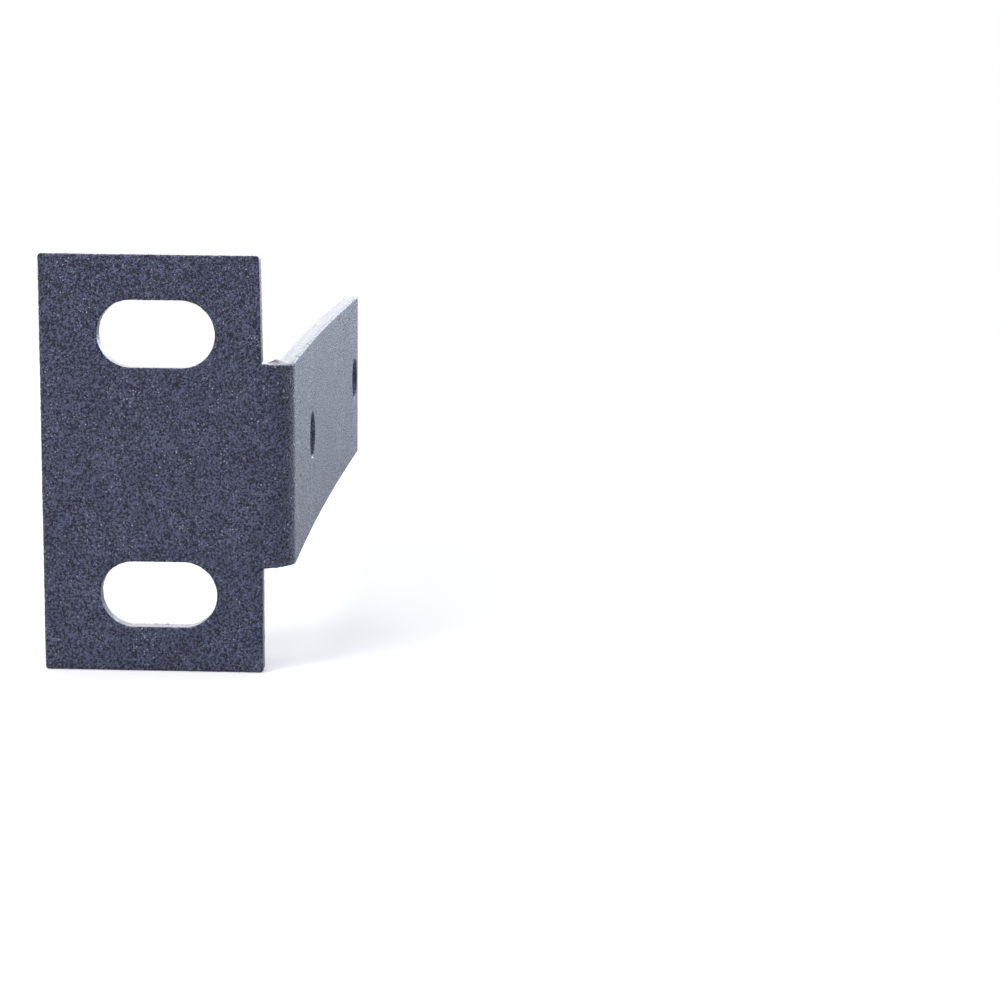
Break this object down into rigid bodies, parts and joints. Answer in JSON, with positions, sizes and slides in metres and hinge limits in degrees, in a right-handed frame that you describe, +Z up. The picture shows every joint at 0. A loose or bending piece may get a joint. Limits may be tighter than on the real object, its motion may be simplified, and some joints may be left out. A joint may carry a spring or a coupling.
{
  "type": "rack mount ear bracket",
  "caption": "Folded steel rack ear: an upright face plate with slots for a rack rail, and a lower drilled flange that runs back along the side of a chassis.",
  "frame": {"origin": "midway between the two slots, on the back of the face plate, where it lies on the rack rail", "axes": "+Z up; the front of the face plate looks towards -Y, and the flange runs back along +Y; +X is the side where the chassis lies, and the outside of the flange looks towards it"},
  "size_m": [0.0303, 0.086, 0.0508],
  "materials": {
    "powder_coat": "charcoal powder coat with a fine sand texture and a slight blue-violet cast, satin, over sheet steel"
  },
  "bodies": {
    "root": {"rack_ear": "powder_coat"}
  },
  "joints": []
}
